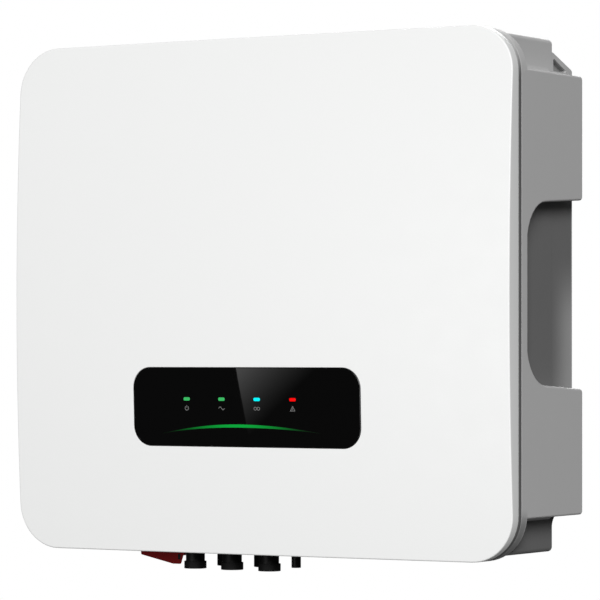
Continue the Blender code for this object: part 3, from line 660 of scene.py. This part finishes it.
def make_housing():
    """The grey casting: flange, box, side wings with hand holds, and the bay walls with their gussets."""
    casting = flange_mesh()
    parts = [box_mesh()]
    cuts = []
    outer = COVER_WIDTH / 2
    for side in (-1, 1):
        wing = prism(wing_outline(), "X", side * (BOX_HALF_WIDTH - 0.003), side * outer)
        parts.append(round_edges(wing, 0.0018, 4, 20,
                                 lambda e: all(abs(abs(v.co.x) - outer) < 1e-6 for v in e.verts)
                                 and not all(v.co.y < FLANGE_FRONT + 0.0041 for v in e.verts)))
        bay = prism(bay_outline(), "X", side * (BOX_HALF_WIDTH - BAY_WALL), side * (BOX_HALF_WIDTH - 0.0002))
        parts.append(bay)
        for z, sign in ((WING_TOP, 1), (WING_BOTTOM, -1)):
            corner = fillet_outline((side * BOX_HALF_WIDTH, z), (side, sign), 0.006)
            parts.append(prism(corner, "Y", FLANGE_BACK - 0.001, BAY_FRONT + 0.004))
        parts.append(bay_fillet(side))
        gusset = rounded_outline([(BOX_BACK + 0.0006, GUSSET_TOP - 0.0045, 0.001),
                                  (BOX_BACK + 0.0006, RECESS_LOW, 0.001),
                                  (BOX_BACK + 0.0255, RECESS_LOW, 0.001)], 4)
        cuts.append(prism(gusset, "X", side * (BOX_HALF_WIDTH - 0.005), side * (BOX_HALF_WIDTH + 0.005)))
        front, back = FLANGE_BACK + 0.008, WING_BACK + 0.02
        for low, high in ((HAND_HOLD[1] + 0.009, WING_TOP - 0.003),
                          (WING_BOTTOM + 0.003, HAND_HOLD[2] - 0.009)):
            centre = ((front + back) / 2, (low + high) / 2)
            pocket = rounded_rectangle(back - front, high - low, 0.003, centre, 4)
            cuts.append(prism(pocket, "X", side * (BOX_HALF_WIDTH + 0.0008), side * (outer - 0.003)))
    casting = boolean(casting, "UNION", *parts)
    cavity = rounded_rectangle(2 * (BOX_HALF_WIDTH - WALL), BOX_TOP - BOX_UNDERSIDE - 2 * WALL, 0.004,
                               (0.0, (BOX_TOP + BOX_UNDERSIDE) / 2), corner_steps=4)
    cuts.append(prism(cavity, "Y", FLANGE_FRONT - 0.01, BOX_BACK - WALL))
    cuts += underside_cutters()
    casting = boolean(casting, "DIFFERENCE", *cuts)
    add_piece("housing_casting", casting, "housing_grey", replaces=["rear_housing"], smooth=30)


def underside_cutters():
    """The holes through the box's bottom wall for the pieces that pass it."""
    low, high = BOX_UNDERSIDE - 0.004, BOX_UNDERSIDE + WALL + 0.003
    cutters = []
    holes = [(names[0], SLEEVE_RADIUS) for names in FRONT_CONNECTORS + BACK_CONNECTORS]
    for node, radius in holes + [("dc_switch_shaft", SHAFT_HOLE), ("antenna_stub", 0.0033),
                                 ("ac_socket", 0.0160), ("vent_valve", 0.0060), ("ground_screw", 0.0027)]:
        x, y = middle(node)
        cutters.append(prism(circle((x, y), radius, 24), "Z", low, high))
    x, y = middle("com_port")
    cutters.append(block((x - 0.0173, y - 0.0083, low), (x + 0.0173, y + 0.0083, high)))
    return cutters


def middle(node, axes="xy"):
    """The middle of a CAD node along two axes."""
    low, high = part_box(node)
    return tuple((getattr(low, axis) + getattr(high, axis)) / 2 for axis in axes)


SHAFT_HOLE = 0.0046
FIN_COUNT = 20
FIN_PITCH = 0.0198
FIN_THICKNESS = 0.0025
SINK_SLOPE = 0.011 / 0.032              # the comb's top falls towards the fin tips like the gussets


def make_heat_sink():
    """An extruded comb with rounded fin tips, its top sloped like the gussets beside it."""
    front, back, base = SINK_LOW.y, SINK_HIGH.y, BOX_BACK + 0.008
    half, root, tip = SINK_HIGH.x, 0.0012, FIN_THICKNESS / 2 - 0.0001
    corners = [(half, front, 0.0005), (half, base, 0.0008)]
    for i in reversed(range(FIN_COUNT)):
        x = FIN_PITCH * (i - (FIN_COUNT - 1) / 2)
        corners += [(x + FIN_THICKNESS / 2 + 0.0003, base, root), (x + FIN_THICKNESS / 2, back, tip * 0.9),
                    (x - FIN_THICKNESS / 2, back, tip * 0.9), (x - FIN_THICKNESS / 2 - 0.0003, base, root)]
    corners += [(-half, base, 0.0008), (-half, front, 0.0005)]
    outline = rounded_outline(corners, 3)
    top = [(x, y, SINK_HIGH.z - 0.0005 - SINK_SLOPE * max(0.0, y - BOX_BACK - 0.002)) for x, y in outline]
    mesh = skin_rings([[(x, y, SINK_LOW.z) for x, y in outline], top])
    boss = block((-0.007, base - 0.002, SINK_LOW.z), (0.007, base + 0.021, SINK_LOW.z + 0.015))
    bore = prism(circle(middle("lock_screw"), 0.0028, 16), "Z", SINK_LOW.z - 0.002, SINK_LOW.z + 0.0135)
    mesh = boolean(boolean(mesh, "UNION", boss), "DIFFERENCE", bore)
    add_piece("finned_heat_sink", mesh, "fin_aluminium", replaces=["heat_sink"], smooth=30)


# ---- DC switch

LEVER_NECK = -0.2062                    # how far down the hub and the lever's tip reach


def make_switch():
    """The red lever on its hub, with its small mark, and the bezel that it turns in."""
    low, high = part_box("dc_switch_bezel")
    x, y = middle("dc_switch_shaft")
    outline = rounded_rectangle(high.x - low.x, high.y - low.y, 0.006, middle("dc_switch_bezel"), 8)
    mesh = prism(outline, "Z", low.z, BOX_UNDERSIDE - GAP)
    round_edges(mesh, 0.0008, 3)
    mesh = boolean(mesh, "DIFFERENCE", prism(circle((x, y), SHAFT_HOLE), "Z", low.z - 0.01, high.z + 0.01))
    add_piece("switch_bezel", mesh, "black_plastic", replaces=["dc_switch_bezel"])

    low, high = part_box("dc_switch_handle")
    lever = rounded_outline([(low.x, high.z - 0.0022, 0.0012), (low.x + 0.0006, LEVER_NECK, 0.0012),
                             (x - 0.0015, low.z, 0.003), (x + 0.0062, low.z, 0.0014),
                             (high.x + 0.0018, high.z - 0.0022, 0.0014)], 5)
    rings = []
    for back in (0, 1):
        ring = []
        for a, b in lever:
            tip, tail = max(0.0, (x - a) / (x - low.x)), max(0.0, a - x + 0.010)
            ring.append((a - back * 0.65 * tail, (high.y - 0.0030 * tip) if back else low.y, b))
        rings.append(ring)
    mesh = skin_rings(rings)
    round_edges(mesh, 0.0007, 3, 50)
    hub = turned([(0, high.z), (0.0065, high.z), (0.0065, LEVER_NECK), (0, LEVER_NECK)], (x, y), soft=0.001)
    mesh = boolean(mesh, "UNION", hub)
    shaft_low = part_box("dc_switch_shaft")[0]
    mesh = boolean(mesh, "DIFFERENCE", prism(circle((x, y), 0.0043, 24), "Z", shaft_low.z - GAP, high.z + 0.01))
    add_piece("switch_handle", mesh, "switch_red", body="dc_switch", replaces=["dc_switch_handle"], smooth=40)
    mark = block((x + 0.0034, low.y - 0.0001, -0.2092), (x + 0.0058, low.y + 0.0012, -0.2048))
    add_piece("switch_mark", round_edges(mark, 0.0002, 2), "black_plastic", body="dc_switch")


# ---- connectors

def hexagon(centre, radius):
    return [(centre[0] + radius * math.cos(math.pi / 3 * i), centre[1] + radius * math.sin(math.pi / 3 * i))
            for i in range(6)]


def ribbed(centre, radius, depth, count, low, high, steps=6):
    """A grip ring with shallow upright ribs, as a closed mesh."""
    outline = []
    for i in range(count * steps):
        angle = 2 * math.pi * i / (count * steps)
        swell = radius - depth * (0.5 - 0.5 * math.cos(2 * math.pi * i / steps)) ** 2
        outline.append((centre[0] + swell * math.cos(angle), centre[1] + swell * math.sin(angle)))
    soft = 0.0004
    rings = []
    for inset, z in ((soft, low), (0.0, low + soft), (0.0, high - soft), (soft, high)):
        scale = 1 - inset / radius
        rings.append([(centre[0] + (a - centre[0]) * scale, centre[1] + (b - centre[1]) * scale, z)
                      for a, b in outline])
    return skin_rings(rings)


FRONT_CONNECTORS = (("aux_port", "aux_cap", "aux_dust_cap"), ("pv_plug_1", "pv_plug_cap_1", "plug_1_dust_cap"),
                    ("pv_plug_2", "pv_plug_cap_2", "plug_2_dust_cap"))
BACK_CONNECTORS = (("pv_socket_1", "pv_socket_cap_1", "socket_1_dust_cap"),
                   ("pv_socket_2", "pv_socket_cap_2", "socket_2_dust_cap"))
CONNECTOR_BORE, SLEEVE_RADIUS, CAP_BORE = 0.0040, 0.0075, 0.0078
NECK_RADIUS, THREAD_RADIUS, THREAD_TOP = 0.0050, 0.0072, -0.1865      # the part inside the box
FRONT_COLLAR, BACK_COLLAR = -0.1985, -0.2032     # where the collars end


def make_connector(names, radius, sleeve, bore_depth, soft, nut=False):
    """A connector turned round its axis, with a collar, a sleeve, a blind bore and the dust cap on it."""
    node, cap, body = names
    low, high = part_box(node)
    place = middle(node)
    floor = low.z + bore_depth
    profile = [(0, high.z), (NECK_RADIUS, high.z), (NECK_RADIUS, THREAD_TOP + 0.0005),
               (THREAD_RADIUS, THREAD_TOP), (THREAD_RADIUS, UNDER), (radius, UNDER), *sleeve,
               (SLEEVE_RADIUS, low.z),
               (CONNECTOR_BORE, low.z), (CONNECTOR_BORE, floor), (0, floor)]
    mesh = turned(profile, place, soft=soft)
    if nut:
        grip = prism(hexagon(place, 0.0100), "Z", FRONT_COLLAR, UNDER)
        mesh = boolean(mesh, "UNION", round_edges(grip, 0.0006, 2))
    add_piece(node + "_body", mesh, "black_plastic", replaces=[node])
    cap_low, cap_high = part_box(cap)
    shell = [(0, cap_low.z), (radius, cap_low.z), (radius, cap_high.z), (CAP_BORE, cap_high.z),
             (CAP_BORE, low.z - GAP), (0, low.z - GAP)]
    add_piece(cap + "_cover", turned(shell, place, soft=0.0004), "cap_rubber", body=body,
              replaces=[cap])


def make_connectors():
    front_sleeve = [(0.0088, FRONT_COLLAR), (SLEEVE_RADIUS, FRONT_COLLAR - 0.0004)]
    for names in FRONT_CONNECTORS:
        make_connector(names, 0.0088, front_sleeve, 0.014, 0.0003, nut=True)
    for names in BACK_CONNECTORS:
        make_connector(names, 0.0098, [(0.0098, BACK_COLLAR), (SLEEVE_RADIUS, BACK_COLLAR)], 0.013, 0.0004)


def make_outlets():
    """What else comes out under the box: AC outlet, communication port, vent, earth screw and antenna."""
    low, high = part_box("ac_socket")
    place = middle("ac_socket")
    profile = [(0, high.z), (0.0155, high.z), (0.0155, UNDER), (0.0190, UNDER), (0.0190, low.z),
               (0.0115, low.z), (0.0115, -0.172), (0, -0.172)]
    add_piece("ac_socket_body", turned(profile, place, soft=0.0004), "black_plastic",
              replaces=["ac_socket"])
    cap_low, cap_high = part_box("ac_cap")
    add_piece("ac_cap_cover", ribbed(place, 0.0189, 0.0005, 24, cap_low.z, cap_high.z), "cap_rubber",
              body="ac_dust_cap", replaces=["ac_cap"])
    low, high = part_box("com_port")
    x, y = middle("com_port")
    port = block((x - 0.0170, y - 0.0080, low.z + 0.0007), (x + 0.0170, y + 0.0080, high.z))
    rim = prism(rounded_rectangle(0.0400, 0.0220, 0.003, (x, y), 6), "Z", low.z, UNDER)
    port = boolean(port, "UNION", rim)
    port = boolean(port, "DIFFERENCE", prism(rounded_rectangle(0.0290, 0.0120, 0.001, (x, y), 4), "Z",
                                             low.z - 0.002, high.z - 0.004))
    add_piece("com_port_body", port, "black_plastic", replaces=["com_port"])
    low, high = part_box("com_plug")
    bung = prism(rounded_rectangle(high.x - low.x, high.y - low.y, 0.004, (x, y), 8), "Z", low.z, high.z)
    round_edges(bung, 0.0007, 3)
    add_piece("com_plug_bung", bung, "cap_rubber", body="com_bung", replaces=["com_plug"])
    low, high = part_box("vent_valve")
    place = middle("vent_valve")
    vent = prism(hexagon(place, 0.0085), "Z", low.z, UNDER)
    round_edges(vent, 0.0007, 3)
    vent = boolean(vent, "UNION", turned([(0, high.z), (0.0057, high.z), (0.0057, -0.197), (0, -0.197)], place))
    add_piece("vent_valve_body", vent, "black_plastic", replaces=["vent_valve"])
    (x, y), low = middle("ground_screw"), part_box("ground_screw")[0].z
    slot = block((x - 0.006, y - 0.0005, low - 0.001), (x + 0.006, y + 0.0005, low + 0.0012))
    screw = boolean(headed_screw("ground_screw", UNDER), "DIFFERENCE", slot)
    add_piece("ground_screw_body", screw, "zinc_steel", replaces=["ground_screw"])
    low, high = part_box("antenna_stub")
    place = middle("antenna_stub")
    profile = [(0, high.z), (0.0030, high.z), (0.0030, UNDER), (0.0060, UNDER), (0.0060, -0.1985),
               (0.0037, -0.1985), (0.0037, low.z), (0, low.z)]
    add_piece("antenna_stub_body", turned(profile, place, sides=36, soft=0.0004), "black_plastic",
              replaces=["antenna_stub"])


# ---- fastenings and hanging

def headed_screw(node, shoulder, sides=56):
    """An upright screw whose head hangs below a shoulder."""
    low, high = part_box(node)
    shank, head = 0.0024, 0.0045
    profile = [(0, high.z), (shank, high.z), (shank, shoulder), (head, shoulder), (head, low.z), (0, low.z)]
    return turned(profile, middle(node), sides=sides, soft=0.0006)


def make_cover_screws():
    for i in range(4):
        node = f"cover_screw_{i + 1}"
        low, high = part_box(node)
        place = middle(node, "xz")
        profile = [(0, high.y), (0.0040, high.y), (0.0040, FLANGE_BACK + GAP), (0.0020, FLANGE_BACK + GAP),
                   (0.0020, low.y), (0, low.y)]
        screw = turned(profile, place, "Y", 36, 0.0007)
        drive = prism(hexagon(place, 0.0019), "Y", high.y - 0.0018, high.y + 0.001)
        add_piece(node + "_body", boolean(screw, "DIFFERENCE", drive), "zinc_steel", replaces=[node])


def make_hanging():
    low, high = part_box("hanger_rail")
    front, back, plate, fold, hook = low.y, high.y, 0.0018, 0.1200, 0.1023
    rail = rounded_outline([
        (front, low.z, 0.0003), (front + plate, low.z, 0.0003), (front + plate, fold - plate, 0),
        (back - plate, fold - plate, 0), (back - plate, hook, 0.0003), (back, hook, 0.0003),
        (back, fold, 0.0018), (front + plate, fold, 0.0006), (front + plate, high.z, 0.0003),
        (front, high.z, 0.0003)][::-1], 3)
    mesh = prism(rail, "X", low.x, high.x)
    add_piece("hanger_rail_strip", mesh, "zinc_steel", replaces=["hanger_rail"], smooth=30)
    make_wall_bracket()
    make_lock_screw()


def make_wall_bracket():
    """A slotted plate with a folded lip for the rail, and a wide tongue down to a foot under the heat sink."""
    low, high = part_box("wall_bracket")
    plate, foot = 0.0020, low.z
    lip_front, lip_low, lip_high = -0.0064, 0.1000, 0.1120
    cleat_low, tongue_half, tongue_top = 0.060, 0.045, 0.068
    cleat = rounded_outline([
        (high.y, cleat_low, 0.0004), (-plate, cleat_low, 0.0004), (-plate, lip_low, 0.0004),
        (lip_front, lip_low, 0.0017), (lip_front, lip_high, 0.0005), (lip_front + 0.0018, lip_high, 0.0005),
        (lip_front + 0.0018, lip_low + plate, 0.0003),
        (-plate, lip_low + plate, 0.0006), (-plate, high.z, 0.0004), (high.y, high.z, 0.0004)], 4)
    bracket = prism(cleat, "X", low.x - 0.001, high.x + 0.001)
    shape = prism(rounded_rectangle(high.x - low.x, high.z - cleat_low, 0.006,
                                    (0.0, (high.z + cleat_low) / 2), 6), "Y",
                  lip_front - 0.005, high.y + 0.002)
    bracket = boolean(bracket, "INTERSECT", shape)
    tongue = rounded_outline([
        (-0.0001, tongue_top, 0.0003), (-0.0001, foot, 0.0030), (low.y, foot, 0.0005),
        (low.y, foot + plate, 0.0005),
        (-plate - 0.0002, foot + plate, 0.0010), (-plate - 0.0002, tongue_top, 0.0003)], 5)
    tongue = prism(tongue, "X", -tongue_half, tongue_half)
    corners = prism(rounded_rectangle(2 * tongue_half, 0.060, 0.006, (0.0, low.y + 0.030), 6), "Z",
                    foot - 0.002, tongue_top + 0.002)
    tongue = boolean(tongue, "INTERSECT", corners)
    bracket = boolean(bracket, "UNION", tongue)
    cuts = [prism(rounded_rectangle(0.024, 0.011, 0.0055, (x, 0.082), 8), "Y", -0.004, 0.002)
            for x in (-0.130, 0.130)]
    cuts.append(prism(circle((0.0, middle("lock_screw")[1]), 0.0029, 24), "Z", foot - 0.002, foot + 0.004))
    add_piece("wall_bracket_plate", boolean(bracket, "DIFFERENCE", *cuts), "zinc_steel", body="bracket",
              replaces=["wall_bracket"], smooth=30)


def make_lock_screw():
    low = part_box("lock_screw")[0].z
    screw = headed_screw("lock_screw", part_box("wall_bracket")[0].z - GAP, sides=36)
    drive = prism(hexagon(middle("lock_screw"), 0.0021), "Z", low - 0.001, low + 0.0020)
    add_piece("lock_screw_body", boolean(screw, "DIFFERENCE", drive), "zinc_steel", body="bracket",
              replaces=["lock_screw"])


def dress_cad():
    """Gives every CAD node that is still shown its finish."""
    slots = {"display_board": "circuit_board", "power_board": "circuit_board", "control_board": "circuit_board",
             "display_cable": "cable_grey", "emi_filter": "zinc_steel", "dc_switch_shaft": "zinc_steel",
             "boost_choke_1": "choke_core", "boost_choke_2": "choke_core", "filter_choke": "choke_core"}
    for name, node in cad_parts.items():
        if node.hide_render:
            continue
        slot = slots.get(name, "black_plastic")
        node.data.materials.clear()
        node.data.materials.append(FINISHES[slot])


# ---- studio

def emitter(name, strength):
    """A white glow."""
    material = bpy.data.materials.new(name)
    material.use_nodes = True
    nodes, links = material.node_tree.nodes, material.node_tree.links
    nodes.clear()
    glow = nodes.new("ShaderNodeEmission")
    glow.inputs["Color"].default_value = (1.0, 1.0, 1.0, 1.0)
    glow.inputs["Strength"].default_value = strength
    out = nodes.new("ShaderNodeOutputMaterial")
    links.new(glow.outputs["Emission"], out.inputs["Surface"])
    return material


def staged(name, mesh, material):
    data = bpy.data.meshes.new(name)
    mesh.to_mesh(data)
    mesh.free()
    data.materials.append(material)
    thing = bpy.data.objects.new(name, data)
    bpy.context.scene.collection.objects.link(thing)
    return thing


def seen_by_camera_only(thing):
    for ray in ("diffuse", "glossy", "shadow", "transmission", "volume_scatter"):
        setattr(thing, "visible_" + ray, False)


def area_light(name, place, aim, side, power):
    """A square soft light that the camera doesn't see."""
    data = bpy.data.lights.new(name, "AREA")
    data.shape = "RECTANGLE"
    data.size = data.size_y = side
    data.energy = power
    lamp = bpy.data.objects.new(name, data)
    bpy.context.scene.collection.objects.link(lamp)
    lamp.location = place
    lamp.rotation_euler = (Vector(aim) - Vector(place)).to_track_quat("-Z", "Y").to_euler()
    lamp.visible_camera = False


FLOOR_Z = -0.62
ROOM_RADIUS = 12.0
WORLD_GLOW = 0.06


def make_studio():
    white = emitter("pale_paper", 1.0)
    room = bmesh.new()
    bmesh.ops.create_icosphere(room, subdivisions=4, radius=ROOM_RADIUS)
    bmesh.ops.reverse_faces(room, faces=room.faces)
    seen_by_camera_only(staged("backdrop", room, white))
    floor = bmesh.new()
    floor.faces.new([floor.verts.new((a, b, FLOOR_Z)) for a, b in circle((0.0, 0.0), ROOM_RADIUS * 0.99, 64)])
    seen_by_camera_only(staged("floor", floor, white))

    world = bpy.data.worlds.new("studio")
    world.use_nodes = True
    background = world.node_tree.nodes["Background"]
    background.inputs["Color"].default_value = (1.0, 1.0, 1.0, 1.0)
    background.inputs["Strength"].default_value = WORLD_GLOW
    bpy.context.scene.world = world

    aim = Vector((0.0, FRONT, 0.0))

    def from_direction(azimuth, elevation, distance):
        a, e = math.radians(azimuth), math.radians(elevation)
        return aim + distance * Vector((math.sin(a) * math.cos(e), -math.cos(a) * math.cos(e), math.sin(e)))

    area_light("key", from_direction(35, 20, 18.0), aim, 7.2, 3092)
    area_light("fill", from_direction(-13, 0, 2.8), aim, 1.0, 21.5)
    area_light("top", (0.0, -0.1, 3.0), (0, -0.08, 0), 1.6, 14)
    area_light("back_rim", (-0.9, 2.6, 0.9), (0, -0.05, 0), 1.4, 75)
    area_light("bounce", (0.0, 0.25, -0.58), (0, -0.05, -0.19), 0.8, 0.5)
    make_reflected_card()


CARD_CENTRE = Vector((-0.8193, -1.5046, -0.1744))
CARD_NORMAL = Vector((0.5234, 0.8498, 0.0617))
CARD_GLOW, CARD_FALLOFF = 2.55, 1.9


def make_reflected_card():
    """A bright card off to the left that shows only as the slanted reflection in the gloss window.

    It has a sharp upright edge and fades towards its slanting one.
    """
    right = Vector((0, 0, 1)).cross(CARD_NORMAL).normalized()
    up = CARD_NORMAL.cross(right)
    upright_top, upright_low, slant_top = (0.0626, 0.110), (0.0364, -0.1160), (-0.1640, 0.110)
    mesh = bmesh.new()
    mesh.faces.new([mesh.verts.new(CARD_CENTRE + right * a + up * b)
                    for a, b in (upright_top, slant_top, upright_low)])

    card = emitter("card_glow", CARD_GLOW)
    paint = Painter(card)
    slant = (Vector(slant_top) - Vector(upright_low)).normalized()
    inward = Vector((slant.y, -slant.x))
    direction = right * inward.x + up * inward.y
    reach = (Vector(upright_top) - Vector(upright_low)).dot(inward)
    dot = paint.nodes.new("ShaderNodeVectorMath")
    dot.operation = "DOT_PRODUCT"
    dot.inputs[1].default_value = direction
    paint.links.new(paint.place, dot.inputs[0])
    start = direction.dot(CARD_CENTRE + right * upright_low[0] + up * upright_low[1])
    share = paint.ramp(dot.outputs["Value"], start, start + reach, kind="LINEAR")
    glow = paint.times(paint.maths("POWER", share, CARD_FALLOFF), CARD_GLOW)
    glow = paint.maths("MAXIMUM", glow, WORLD_GLOW)       # so that the card shows no dark rim
    paint.links.new(glow, paint.nodes["Emission"].inputs["Strength"])

    thing = staged("reflected_card", mesh, card)
    thing.visible_camera = False
    thing.visible_diffuse = False
    thing.visible_shadow = False


def make_camera():
    data = bpy.data.cameras.new("camera")
    data.lens = 208.06
    data.sensor_width = 36.0
    data.shift_y = 0.0915
    data.dof.use_dof = False
    camera = bpy.data.objects.new("camera", data)
    camera.location = (1.4219, -2.3995, -0.0449)
    camera.rotation_euler = (math.radians(90), 0.0, math.radians(31.41))
    bpy.context.scene.collection.objects.link(camera)
    bpy.context.scene.camera = camera


make_cover()
make_gasket()
make_lens()
make_lights()
make_icons()
make_accent_line()
make_housing()
make_heat_sink()
make_switch()
make_connectors()
make_outlets()
make_cover_screws()
make_hanging()
dress_cad()
make_studio()
make_camera()
bpy.context.scene.view_settings.view_transform = "Standard"
